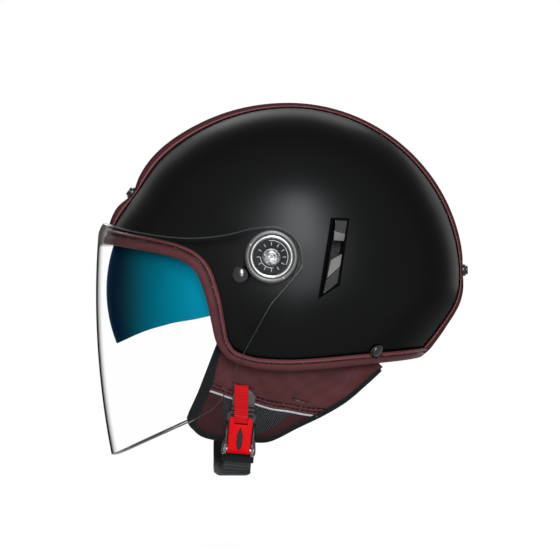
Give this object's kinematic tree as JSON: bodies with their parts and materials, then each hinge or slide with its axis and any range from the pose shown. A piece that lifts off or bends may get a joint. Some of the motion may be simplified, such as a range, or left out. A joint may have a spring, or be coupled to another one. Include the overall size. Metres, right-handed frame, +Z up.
{
  "type": "motorcycle helmet",
  "caption": "Open-face motorcycle helmet with satin shell, leather edge trim and ear flaps, clear flip-up visor, drop-down sun visor and ratchet chin buckle.",
  "frame": {"origin": "where the top of the wearer's head touches the crown liner", "axes": "+X to the back of the head, -Y to the wearer's left, +Z up"},
  "size_m": [0.291, 0.2632, 0.2934],
  "materials": {
    "shell_black": "satin black lacquer",
    "foam_grey": "dark moulded foam",
    "liner_fabric": "knitted lining",
    "burgundy_leather": "grained leather",
    "gunmetal": "dark polished metal",
    "vent_black": "matte black",
    "vent_grey": "satin dark grey",
    "moulded_black": "moulded black",
    "bright_chrome": "polished",
    "binding_black": "woven edge binding",
    "reflective_tape": "retro-reflective tape",
    "mesh_black": "spacer mesh",
    "webbing_black": "woven webbing",
    "buckle_steel": "blackened steel",
    "clear_visor": "clear moulded sheet",
    "mirror_blue": "blue mirror coating",
    "lever_red": "moulded red",
    "webbing_red": "red ribbed webbing"
  },
  "bodies": {
    "helmet": {"outer_shell": "shell_black", "foam_liner": "foam_grey", "crown_liner": "liner_fabric", "neck_roll": "liner_fabric", "edge_trim": "burgundy_leather", "crown_strip": "burgundy_leather", "front_stud": "gunmetal", "rear_stud": "gunmetal", "vent_cup_left": "vent_black", "vent_cup_right": "vent_black", "vent_fins_left": "vent_grey", "vent_fins_right": "vent_grey", "pivot_base_left": "moulded_black", "pivot_base_right": "moulded_black", "pivot_bezel_left": "gunmetal", "pivot_bezel_right": "gunmetal", "pivot_bright_ring_left": "bright_chrome", "pivot_bright_ring_right": "bright_chrome", "pivot_dial_left": "moulded_black", "pivot_dial_right": "moulded_black", "pivot_screw_left": "bright_chrome", "pivot_screw_right": "bright_chrome", "strap_rivet_left": "gunmetal", "strap_rivet_right": "gunmetal", "sun_bracket_left": "moulded_black", "sun_bracket_right": "moulded_black", "ear_flap_left": "burgundy_leather", "ear_flap_right": "burgundy_leather", "flap_binding_left": "binding_black", "flap_binding_right": "binding_black", "flap_reflector_left": "reflective_tape", "flap_reflector_right": "reflective_tape", "flap_mesh_left": "mesh_black", "flap_mesh_right": "mesh_black", "cheek_pad_left": "liner_fabric", "cheek_pad_right": "liner_fabric", "chin_strap_left": "webbing_black", "chin_strap_right": "webbing_black", "buckle_base": "buckle_steel", "buckle_pin": "buckle_steel", "buckle_spring": "buckle_steel"},
    "visor": {"visor": "clear_visor", "visor_stud_left": "gunmetal", "visor_stud_right": "gunmetal"},
    "sun_visor": {"sun_visor": "mirror_blue", "sun_visor_hubs": "moulded_black"},
    "buckle_lever": {"buckle_lever": "lever_red", "lever_grip": "moulded_black", "pull_tab": "webbing_red"},
    "tongue": {"ratchet_tongue": "moulded_black", "strap_keeper": "webbing_black"}
  },
  "joints": [
    {"name": "visor_hinge", "type": "hinge", "parent": "helmet", "child": "visor", "pos_m": [-0.0148, 0, -0.0734], "axis": [0, 1, 0], "range_deg": [0, 85]},
    {"name": "sun_visor_hinge", "type": "hinge", "parent": "helmet", "child": "sun_visor", "pos_m": [-0.0316, 0, -0.0989], "axis": [0, 1, 0], "range_deg": [0, 43]},
    {"name": "buckle_lever_hinge", "type": "hinge", "parent": "helmet", "child": "buckle_lever", "pos_m": [-0.04155, -0.1013, -0.22219], "axis": [0.9962, 0, -0.0872], "range_deg": [0, 50], "stiffness_Nm_per_rad": 0.03, "springref_deg": -17.19},
    {"name": "tongue_slide", "type": "slide", "parent": "helmet", "child": "tongue", "axis": [-0.0872, 0, -0.9962], "range_m": [0, 0.03], "deforming": ["chin_strap_right"]}
  ]
}
